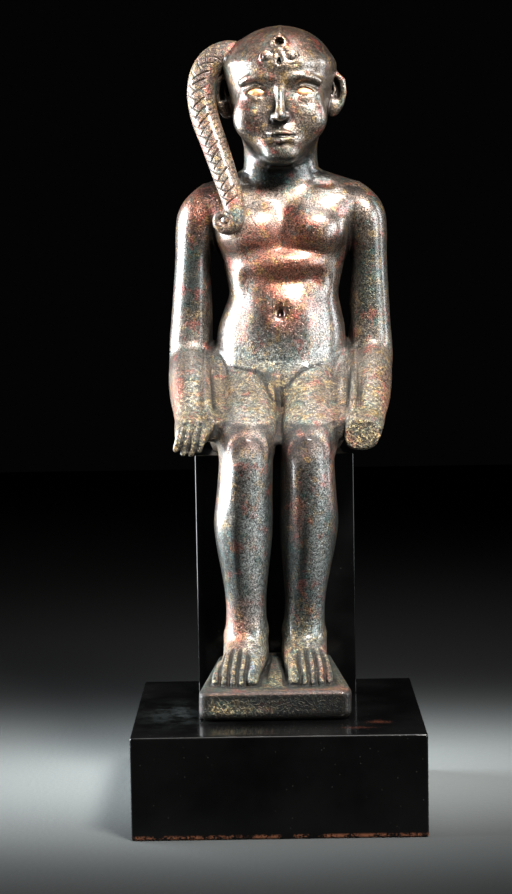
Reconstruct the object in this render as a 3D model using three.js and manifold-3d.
// A seated bronze figure of a child god, with a plaited side lock and gold eye inlays, on the
// black lacquered seat and base that hold it up. Millimetres, +Z up. The figure faces -Y, so
// its right arm is on the -X side. The origin is the middle of the base's underside.
import * as THREE from "three";
import { mergeVertices } from "three/addons/utils/BufferGeometryUtils.js";
import Module from "manifold-3d";

const wasm = await Module();
wasm.setup();

// The mount
const BASE_WIDTH = 100;
const BASE_DEPTH = 100;
const BASE_HEIGHT = 35.2;
const BASE_CHAMFER = 1.2;
const SEAT_WIDTH = 57.4;
const SEAT_HEIGHT = 88;
const SEAT_FRONT = 22.4;
const SEAT_BACK = 49;
const SEAT_CHAMFER = 0.6;
// How far the bronze stands clear of what it rests on
const REST_GAP = 0.1;

// The bronze: heights from here on are measured up from the base's top
const CROWN = 243.4;
const CHIN = 192.2;
const NECK_HALF_WIDTH = 13.6;
const CALF_SPACING = 11.5;
const KNEE_SPACING = 10.8;
const ARM_SPACING = 32.7;
const FINGER_SPACING = 2.8;
const FOOTREST_FRONT = -26.2;
const FOOTREST_BACK = 22;
const FOOTREST_FRONT_WIDTH = 53.8;
const FOOTREST_BACK_WIDTH = 40.6;
const FOOTREST_FRONT_HEIGHT = 10.1;
const FOOTREST_BACK_HEIGHT = 14.6;
const TOE_ROWS = { right: { middle: 14.7, width: 19.7 }, left: { middle: 12.3, width: 16.3 } };
const EYE_HEIGHT = (CROWN + CHIN) / 2;
const EYE_SPACING = 8.2;
const INLAY = { across: 3.9, deep: 1.7, tall: 1.7 };
const INLAY_GAP = 0.3;
const LOCK_RADIUS = 5.3;
const CURL = { x: -21, z: 172.8, radius: 3.3 };
// How far the casting leans towards +X at a height: [height, shift]
const LEAN_ROWS = [[0, -1.1], [88, 0.9], [104, 2.5], [140, 3.4], [185, 4.3], [206, 4.1], [244, 4.5]];

const RIGHT = -1;
const LEFT = 1;
const X_AXIS = new THREE.Vector3(1, 0, 0);
const Y_AXIS = new THREE.Vector3(0, 1, 0);

// A closed three.js geometry as a solid that can be joined and cut.
function solid(geometry) {
  const plain = new THREE.BufferGeometry();
  plain.setAttribute("position", geometry.getAttribute("position"));
  plain.setIndex(geometry.getIndex());
  const merged = mergeVertices(plain, 1e-4);
  const mesh = new wasm.Mesh({
    numProp: 3,
    vertProperties: new Float32Array(merged.getAttribute("position").array),
    triVerts: new Uint32Array(merged.getIndex().array),
  });
  return new wasm.Manifold(mesh);
}

// A solid back as a three.js geometry.
function geometryOf(body) {
  const mesh = body.getMesh();
  const geometry = new THREE.BufferGeometry();
  geometry.setAttribute("position", new THREE.BufferAttribute(mesh.vertProperties, 3));
  geometry.setIndex(new THREE.BufferAttribute(mesh.triVerts, 1));
  return geometry;
}

// All of these solids as one.
const joined = (bodies) => bodies.reduce((whole, body) => whole.add(body));

// A closed skin through ovals carried along a line. An oval lies across its own `along`, and is
// `wide` to each side, `low` and `high` to the two sides across that, and squarer as `power`
// rises above 2. `shape` may move each of its points.
function skin(ovals, segments, shape = () => {}) {
  const points = [];
  const faces = [];
  for (const oval of ovals) {
    const side = oval.side.clone();
    const up = new THREE.Vector3().crossVectors(oval.along, side).normalize();
    side.crossVectors(up, oval.along).normalize();
    for (let j = 0; j < segments; j += 1) {
      const angle = (2 * Math.PI * j) / segments;
      const c = Math.cos(angle);
      const s = Math.sin(angle);
      const x = Math.sign(c) * Math.abs(c) ** (2 / oval.power) * oval.wide;
      const y = Math.sign(s) * Math.abs(s) ** (2 / oval.power) * (s < 0 ? oval.low : oval.high);
      const point = oval.centre.clone().addScaledVector(side, x).addScaledVector(up, y);
      shape(point, oval);
      points.push(point);
    }
  }
  for (let i = 0; i + 1 < ovals.length; i += 1) {
    for (let j = 0; j < segments; j += 1) {
      const a = i * segments + j;
      const b = i * segments + ((j + 1) % segments);
      faces.push(a, b, b + segments, a, b + segments, a + segments);
    }
  }
  const first = points.push(ovals[0].centre.clone()) - 1;
  const last = points.push(ovals[ovals.length - 1].centre.clone()) - 1;
  const top = (ovals.length - 1) * segments;
  for (let j = 0; j < segments; j += 1) {
    const next = (j + 1) % segments;
    faces.push(first, next, j, last, top + j, top + next);
  }
  const geometry = new THREE.BufferGeometry().setFromPoints(points);
  geometry.setIndex(faces);
  return solid(geometry);
}

// Rows of numbers, the first of them rising, drawn through by a smooth curve at `count` places.
function smoothRows(rows, count) {
  const width = rows[0].length;
  const spline = new THREE.CubicInterpolant(rows.map((row) => row[0]), rows.flat(), width);
  const from = rows[0][0];
  const to = rows[rows.length - 1][0];
  return Array.from({ length: count }, (_, i) => {
    const at = from + ((to - from) * i) / (count - 1);
    return Array.from(spline.evaluate(at));
  });
}

// A body mass with level sections: rows of [height, middle x, front y, back y, half width]. Each
// relief [x, height, reach across, reach up, rise] raises or hollows its front like a soft bump.
function levelMass(rows, count, segments, power, reliefs = []) {
  const ovals = smoothRows(rows, count).map(([height, x, front, back, wide]) => ({
    centre: new THREE.Vector3(x, (front + back) / 2, height),
    along: new THREE.Vector3(0, 0, 1),
    side: X_AXIS,
    wide,
    low: (back - front) / 2,
    high: (back - front) / 2,
    power,
  }));
  const shape = (point, oval) => {
    const frontal = Math.max(0, (oval.centre.y - point.y) / oval.low);
    for (const [x, height, across, up, rise] of reliefs) {
      const u = (point.x - x) / across;
      const v = (point.z - height) / up;
      point.y -= rise * Math.exp(-u * u - v * v) * Math.min(1, 2 * frontal);
    }
  };
  return skin(ovals, segments, shape);
}

// A limb that runs forward: rows of [distance forward, middle x, underside, top, half width].
function forwardMass(rows, count, segments, power) {
  const ovals = smoothRows(rows, count).map(([forward, x, under, top, wide]) => ({
    centre: new THREE.Vector3(x, -forward, (under + top) / 2),
    along: new THREE.Vector3(0, -1, 0),
    side: X_AXIS,
    wide,
    low: (top - under) / 2,
    high: (top - under) / 2,
    power,
  }));
  return skin(ovals, segments);
}

// A round bar through points, each with its own radius, with rounded ends.
function bar(stops, segments = 6, side = X_AXIS, ends = [0.62]) {
  const ovals = [];
  const at = (index) => new THREE.Vector3(...stops[index].slice(0, 3));
  const add = (centre, along, radius) =>
    ovals.push({ centre, along, side, wide: radius, low: radius, high: radius, power: 2 });
  stops.forEach((stop, i) => {
    const before = at(Math.max(0, i - 1));
    const after = at(Math.min(stops.length - 1, i + 1));
    const along = after.sub(before).normalize();
    const radius = stop[3];
    const reach = (share) => Math.sqrt(1 - share * share) * radius;
    if (i === 0) {
      ends.forEach((share) => add(at(i).addScaledVector(along, -reach(share)), along, share * radius));
    }
    add(at(i), along, radius);
    if (i === stops.length - 1) {
      ends.toReversed().forEach((share) =>
        add(at(i).addScaledVector(along, reach(share)), along, share * radius));
    }
  });
  return skin(ovals, segments);
}

// An egg of three half sizes round a centre.
function egg(x, y, z, wide, deep, tall, segments = 10) {
  const ball = new THREE.SphereGeometry(1, segments, Math.round(segments / 2));
  ball.rotateX(Math.PI / 2);
  ball.scale(wide, deep, tall);
  ball.translate(x, y, z);
  return solid(ball);
}

// A ring of round section that stands on its edge, facing the viewer.
function ring(x, y, z, radius, thickness) {
  const torus = new THREE.TorusGeometry(radius, thickness, 4, 8);
  torus.rotateX(Math.PI / 2);
  torus.translate(x, y, z);
  return solid(torus);
}

function box(x0, x1, y0, y1, z0, z1) {
  const block = new THREE.BoxGeometry(x1 - x0, y1 - y0, z1 - z0);
  block.translate((x0 + x1) / 2, (y0 + y1) / 2, (z0 + z1) / 2);
  return solid(block);
}

function torso() {
  const trunk = levelMass(
    [
      [86, 0, 30, 60, 21],
      [92, 0, 28.5, 64, 23.8],
      [101, 0, 28.4, 66, 24.6],
      [112, 0, 29, 64.5, 24.6],
      [124, 0.2, 29.8, 61, 24],
      [133.5, 0.3, 29.8, 58.5, 23.3],
      [139.4, 0.6, 30.2, 57.4, 21.7],
      [145.3, 1, 31.4, 57, 20.2],
      [151, 1, 31.8, 58, 21],
      [158, 0.9, 31.6, 60, 22.8],
      [166, 0.4, 31.4, 62, 26.8],
      [174, 0, 32.6, 62.4, 30.2],
      [179.6, 0, 35.2, 61.6, 31.2],
      [184, 0, 38.2, 60, 29.8],
      [187, 0, 40.4, 58.4, 25.2],
      [189.4, 0, 42, 57, 18.6],
      [191, 0, 44, 55, 12],
    ],
    22,
    22,
    2.3,
    [
      [-11.4, 167.4, 8, 6.5, 3.4],
      [11.4, 167.4, 8, 6.5, 3.4],
      [0.5, 132, 12, 12, 2.8],
      [0.5, 156.5, 11, 4, -1],
    ],
  );
  const navel = egg(0.5, 27, 137.4, 1.7, 2, 1.8, 8);
  const groin = egg(-0.4, 28, 111, 4, 3.4, 4.8, 8);
  return trunk.add(groin).subtract(navel);
}

// The skull and jaw, with the nose, the lips and the hollows under the brows
function head() {
  const skull = levelMass(
    [
      [CHIN, 0, 28, 42, 3.4],
      [CHIN + 1.8, 0, 25.4, 50, 7],
      [CHIN + 6, 0, 24, 56, 10.9],
      [CHIN + 11.5, 0, 23.8, 60.5, 14.7],
      [CHIN + 17.4, 0, 24.4, 64.4, 17.2],
      [EYE_HEIGHT, 0, 24.2, 67.4, 18.8],
      [CHIN + 33.8, 0, 23.2, 69, 20.2],
      [CHIN + 40.6, 0, 25.2, 67.4, 18.8],
      [CHIN + 46.4, 0, 31, 61.8, 13.9],
      [CHIN + 49.4, 0, 37, 55.8, 8.8],
      [CROWN, 0, 43.4, 49.4, 3],
    ],
    18,
    22,
    2.1,
    [
      [-EYE_SPACING, EYE_HEIGHT + 0.3, 5.6, 3.2, -1.8],
      [EYE_SPACING, EYE_HEIGHT + 0.3, 5.6, 3.2, -1.8],
      [0, CHIN + 3.6, 5, 3, 0.8],
      [0, CHIN + 9, 7, 3.4, 0.9],
    ],
  );
  const neck = levelMass(
    [
      [178, 0, 38, 60, 15.6],
      [186.4, 0, 36.5, 59, 14],
      [194, 0, 35.5, 59, NECK_HALF_WIDTH],
      [206, 0, 34, 60, NECK_HALF_WIDTH],
    ],
    4,
    14,
    2,
  );
  const noseBase = CHIN + 15.2;
  const brow = EYE_HEIGHT + 4.5;
  const nose = bar([[0, 25.6, brow, 1.7], [0, 22.8, noseBase + 4, 2.1], [0, 21.8, noseBase + 1.8, 2.6]], 8);
  const lips = [10.3, 8.4].map((rise) => egg(0, 24, CHIN + rise, 4.8, 1.6, 1.1, 8));
  return joined([skull, neck, nose, ...lips]);
}

// Where an eye's inlay sits, made a little larger for its socket
function eyeLens(side, gap) {
  return egg(
    EYE_SPACING * side,
    27.6,
    EYE_HEIGHT,
    INLAY.across + gap,
    INLAY.deep + gap,
    INLAY.tall + gap,
    10,
  );
}

// An upper and a lower lid, each a low arc round the inlay
function eyelids(side) {
  const arc = (rise) =>
    bar(
      [-1, 0, 1].map((t) => [
        (EYE_SPACING + t * 4.4) * side,
        26 + 0.7 * t * t + 0.5 * t,
        EYE_HEIGHT + rise * (1 - t * t),
        0.55,
      ]),
      4,
      Y_AXIS,
    );
  return arc(2.1).add(arc(-2));
}

function ear(side) {
  const shell = egg(20.2 * side, 46, 217.8, 4, 3, 7.5, 10);
  const hollow = egg(20.8 * side, 42.6, 218.8, 2.6, 2, 4.8, 8);
  return shell.subtract(hollow);
}

// The cobra on the brow: its tail over the crown, the socket of its lost hood and two coils
function cobra() {
  const tail = bar([[0, 40, CROWN - 1.1, 1], [0, 32.4, CROWN - 3.8, 1.2], [0, 28.8, 238.2, 1.6]]);
  const hood = bar([[0, 25.4, 235.4, 1.9], [0, 24, 231.6, 1.7], [0, 23.4, 228.6, 1.3]]);
  const rim = ring(0, 26, 236.6, 1.9, 0.8);
  const hole = egg(0, 24.8, 236.6, 1.3, 2.4, 1.3, 8);
  const coils = [RIGHT, LEFT].map((side) => ring(4.6 * side, 24, 230.6, 1.8, 0.8));
  return joined([tail, hood, rim, ...coils]).subtract(hole);
}

// The plaited lock springs from the right temple, clears the ear and lies on the chest
function sideLock() {
  const stops = [
    [-11.4, 46, 231.2],
    [-17.9, 46, 233],
    [-23.8, 45.6, 231.4],
    [-27.5, 44.8, 226.6],
    [-28.7, 43.6, 219.6],
    [-27.9, 42, 212.4],
    [-26.3, 40.4, 206.8],
    [-24.2, 38.4, 200.8],
    [-22.3, 36.4, 195],
    [-20.4, 34.6, 189],
    [-18.2, 32.4, 182.8],
    [-16.6, 30.8, 177],
    [-15.9, 30, 173.2],
  ];
  const path = new THREE.CatmullRomCurve3(stops.map((stop) => new THREE.Vector3(...stop)));
  const count = 16;
  const rings = Array.from({ length: count }, (_, i) => {
    const t = i / (count - 1);
    const swell = 1 - 0.1 * Math.cos(2 * Math.PI * t) - 0.22 * t * t;
    const point = path.getPointAt(t);
    return [point.x, point.y, point.z, LOCK_RADIUS * swell];
  });
  const plait = bar(rings, 9, Y_AXIS);
  const { x, z, radius } = CURL;
  const scroll = ring(x, 28.4, z, radius * 0.66, radius * 0.42);
  const backing = egg(x, 30.2, z, radius, 2.6, radius, 8);
  const turn = bar([[x + 4.6, 30, z - 1.4, 3.2], [x + 2.6, 30, z - 3, 2.4], [x, 30, z - 2.9, 1.6]]);
  return joined([plait, scroll, backing, turn]);
}

// The upper arm hangs from the shoulder, and the forearm runs forward, webbed to the thigh
function arm(side) {
  const upper = levelMass(
    [
      [114, 33.4 * side, 45, 53, 4],
      [117, 33.4 * side, 41, 57.6, 6.8],
      [124, 33.4 * side, 40.4, 58, 8],
      [135, 33 * side, 41, 57.6, 7.7],
      [147.3, ARM_SPACING * side, 40, 56.8, 7.1],
      [159, 32.3 * side, 39, 57, 6.8],
      [168.8, 31.3 * side, 37.6, 58, 7.7],
      [175.6, 30.2 * side, 37.8, 58, 7.9],
      [180.4, 29 * side, 39.8, 57, 6.5],
      [183.6, 27.7 * side, 43, 55, 4.5],
      [185.6, 26.5 * side, 46, 52, 2.2],
    ],
    12,
    10,
    2.15,
  );
  const forearm = forwardMass(
    [
      [-57, 33.4 * side, 115.5, 125, 5],
      [-52, 33.4 * side, 111.5, 129, 7.2],
      [-42, 33.6 * side, 107.4, 127, 7.5],
      [-28, 33.4 * side, 102, 119.2, 6.8],
      [-14, 32.2 * side, 97.6, 110.4, 5.8],
      [-5, 31 * side, 94.6, 104.6, 5.6],
      [1, 30.4 * side, 93, 102.4, 5.4],
    ],
    8,
    10,
    2.2,
  );
  const web = forwardMass(
    [
      [-57, 25 * side, 106, 124, 4],
      [-50, 25 * side, 102, 130.4, 6],
      [-40, 25 * side, 99, 125, 6],
      [-26, 25 * side, 96, 111, 6],
      [-8, 24.6 * side, 94, 104, 6],
      [-3, 24.6 * side, 95, 102, 4],
    ],
    6,
    8,
    2.6,
  );
  return joined([upper, forearm, web]);
}

// The right hand is open: its four fingers bend down over the side of the knee
function openHand() {
  const palm = forwardMass(
    [
      [-6, -31.2, 94, 104, 5.5],
      [-1, -30.8, 92, 102.4, 5.9],
      [2.4, -30.6, 92, 99.8, 5.7],
    ],
    3,
    12,
    2.6,
  );
  const fingers = [0, 1, 2, 3].map((i) => {
    const x = -34.8 + FINGER_SPACING * i;
    return bar([[x, -1, 98.4, 1.6], [x, -2.8, 95, 1.6], [x - 0.2, -2.9, 91.2, 1.4]]);
  });
  const thumb = bar([[-25.8, 6, 98, 1.8], [-24.6, 1.6, 96, 1.7], [-24.8, 0.4, 93.4, 1.5]]);
  return joined([palm, thumb, ...fingers]);
}

// The left hand is a fist with a flat, corroded end
function fist() {
  return forwardMass(
    [
      [-8, 31, 94, 105, 5.6],
      [-2, 29.9, 91.4, 103.6, 6.1],
      [1.6, 29.2, 91, 102.8, 6.2],
      [2.6, 28.8, 91.8, 102, 5.5],
    ],
    5,
    12,
    2.9,
  );
}

function leg(side) {
  const thigh = forwardMass(
    [
      [-63, 12 * side, 92, 106, 8],
      [-56, 12 * side, 86, 112, 11.5],
      [-44, 12 * side, 86, 115, 12.2],
      [-30, 11.9 * side, 86, 112, 12.2],
      [-16, 11.4 * side, 86, 107.4, 11.4],
      [-4, KNEE_SPACING * side, 86.4, 103.6, 10.6],
      [4, KNEE_SPACING * side, 88, 101, 9.2],
      [8.6, KNEE_SPACING * side, 91, 98.4, 5.6],
    ],
    9,
    12,
    2.4,
  );
  const shin = levelMass(
    [
      [12, 10.4 * side, 2, 19.4, 7.6],
      [21, 10.4 * side, 1.6, 18, 7.8],
      [30, 10.4 * side, 2.2, 16.2, 7.2],
      [38, 10.6 * side, 1.2, 15.8, 7.3],
      [48, 11 * side, -1.2, 16.4, 8.5],
      [57, 11.4 * side, -3.4, 17.2, 9.8],
      [65, CALF_SPACING * side, -5, 17.4, 10.5],
      [76, 11.3 * side, -6.8, 16.2, 9.8],
      [86, 10.9 * side, -8.2, 14.8, 9],
      [93, KNEE_SPACING * side, -9.4, 14, 9.3],
      [98.5, KNEE_SPACING * side, -7, 11, 8],
    ],
    13,
    12,
    2.1,
  );
  const kneecap = egg(KNEE_SPACING * side, -6.2, 95, 4.4, 3.6, 4.2, 8);
  return joined([thigh, shin, kneecap]);
}

// How high the footrest's sloping top is at a place along Y
function footrestTop(y) {
  const share = (y - FOOTREST_FRONT) / (FOOTREST_BACK - FOOTREST_FRONT);
  return FOOTREST_FRONT_HEIGHT + share * (FOOTREST_BACK_HEIGHT - FOOTREST_FRONT_HEIGHT);
}

function foot(side) {
  const { middle, width } = side === RIGHT ? TOE_ROWS.right : TOE_ROWS.left;
  const rows = [
    [-21.4, 0, 3, 4.2],
    [-18, 0, 7.4, 6.2],
    [-11, 0, 10.4, 7.4],
    [-2, 0.1, 11, 7.6],
    [5, 0.3, 9.4, 7.9],
    [12, 0.6, 7, 0.44 * width],
    [18, 0.85, 5.2, 0.48 * width],
    [22, 1, 4.2, 0.46 * width],
  ];
  const body = forwardMass(
    rows.map(([forward, share, rise, wide]) => {
      const ground = footrestTop(-forward);
      const x = 10.4 + (middle - 10.4) * share;
      return [forward, x * side, ground - 2, ground + rise, wide];
    }),
    10,
    12,
    2.4,
  );
  const tips = [-25.4, -25.2, -24.8, -24.1, -23.2];
  const toes = tips.map((tip, i) => {
    const span = (i === 0 ? 0.27 : 0.1825) * width;
    const inner = i === 0 ? 0 : (0.27 + 0.1825 * (i - 1)) * width;
    const x = (middle - width / 2 + inner + span / 2) * side;
    const thick = span / 2;
    const centre = tip + thick * 0.95;
    const rise = (y) => footrestTop(y) + thick * 0.7;
    return bar([[x * 0.98, centre + 6, rise(centre + 6) + 1.2, thick], [x, centre, rise(centre), thick]], 5);
  });
  return joined([body, ...toes]);
}

// A wedge with rounded front corners that widens towards the toes, and the rib between the feet
function footrest() {
  const outline = new THREE.Shape();
  const front = FOOTREST_FRONT_WIDTH / 2;
  const back = FOOTREST_BACK_WIDTH / 2;
  const corner = 2.6;
  outline.moveTo(-front + corner, FOOTREST_FRONT);
  outline.lineTo(front - corner, FOOTREST_FRONT);
  outline.quadraticCurveTo(front, FOOTREST_FRONT, front, FOOTREST_FRONT + corner);
  outline.lineTo(back, FOOTREST_BACK);
  outline.lineTo(-back, FOOTREST_BACK);
  outline.lineTo(-front, FOOTREST_FRONT + corner);
  outline.quadraticCurveTo(-front, FOOTREST_FRONT, -front + corner, FOOTREST_FRONT);
  const block = solid(
    new THREE.ExtrudeGeometry(outline, { depth: 30, bevelEnabled: false, curveSegments: 4 }),
  );
  const slope = Math.atan2(
    FOOTREST_BACK_HEIGHT - FOOTREST_FRONT_HEIGHT,
    FOOTREST_BACK - FOOTREST_FRONT,
  );
  const above = new THREE.BoxGeometry(200, 200, 60);
  above.translate(0, 0, 30);
  above.rotateX(slope);
  above.translate(0, FOOTREST_FRONT, FOOTREST_FRONT_HEIGHT);
  const rib = box(-3.3, 3.3, -4, FOOTREST_BACK, 8, footrestTop(FOOTREST_BACK) + 1.6);
  return block.subtract(solid(above)).add(rib);
}

// The whole casting: everything but what the seat fills
function bronze() {
  const masses = [torso(), head(), ear(RIGHT), ear(LEFT), cobra(), sideLock()];
  masses.push(eyelids(RIGHT), eyelids(LEFT));
  masses.push(arm(RIGHT), arm(LEFT), openHand(), fist());
  masses.push(leg(RIGHT), leg(LEFT), foot(RIGHT), foot(LEFT), footrest());
  const reach = BASE_DEPTH;
  const seatSpace = box(-reach, reach, SEAT_FRONT - 0.3, reach, -reach, SEAT_HEIGHT);
  const eyes = joined([eyeLens(RIGHT, INLAY_GAP), eyeLens(LEFT, INLAY_GAP)]);
  return joined(masses).subtract(seatSpace).subtract(eyes);
}

// A block with every edge chamfered a little, standing on z = 0
function block(width, depth, height, chamfer) {
  const outline = new THREE.Shape();
  const x = width / 2 - chamfer;
  const y = depth / 2 - chamfer;
  outline.moveTo(-x, -y);
  outline.lineTo(x, -y);
  outline.lineTo(x, y);
  outline.lineTo(-x, y);
  return new THREE.ExtrudeGeometry(outline, {
    depth: height - 2 * chamfer,
    bevelThickness: chamfer,
    bevelSize: chamfer,
    bevelSegments: 1,
  }).translate(0, 0, chamfer);
}

// A solid of the upright casting, leaned as the casting leans and stood on the base
function onBase(body) {
  const geometry = geometryOf(body);
  const [heights, shifts] = [0, 1].map((column) => LEAN_ROWS.map((row) => row[column]));
  const lean = new THREE.LinearInterpolant(heights, shifts, 1);
  const points = geometry.getAttribute("position");
  for (let i = 0; i < points.count; i += 1) {
    points.setX(i, points.getX(i) + lean.evaluate(points.getZ(i))[0]);
  }
  geometry.translate(0, 0, BASE_HEIGHT + REST_GAP);
  return geometry;
}

const bronzeMetal = new THREE.MeshStandardMaterial({ color: 0x4f4136, roughness: 0.42, metalness: 0.9 });
const goldLeaf = new THREE.MeshStandardMaterial({ color: 0xd9a765, roughness: 0.35, metalness: 0.9 });
const blackLacquer = new THREE.MeshStandardMaterial({ color: 0x0a0a0c, roughness: 0.15, metalness: 0 });

function piece(name, geometry, material) {
  geometry.computeVertexNormals();
  const mesh = new THREE.Mesh(geometry, material);
  mesh.name = name;
  return mesh;
}

const seatDepth = SEAT_BACK - SEAT_FRONT;
const seat = block(SEAT_WIDTH, seatDepth, SEAT_HEIGHT, SEAT_CHAMFER);
seat.translate(0, SEAT_FRONT + seatDepth / 2, BASE_HEIGHT);

const figure = new THREE.Group();
figure.add(piece("base_block", block(BASE_WIDTH, BASE_DEPTH, BASE_HEIGHT, BASE_CHAMFER), blackLacquer));
figure.add(piece("seat_block", seat, blackLacquer));
figure.add(piece("bronze_figure", onBase(bronze()), bronzeMetal));
figure.add(piece("right_eye_inlay", onBase(eyeLens(RIGHT, 0)), goldLeaf));
figure.add(piece("left_eye_inlay", onBase(eyeLens(LEFT, 0)), goldLeaf));

export default figure;
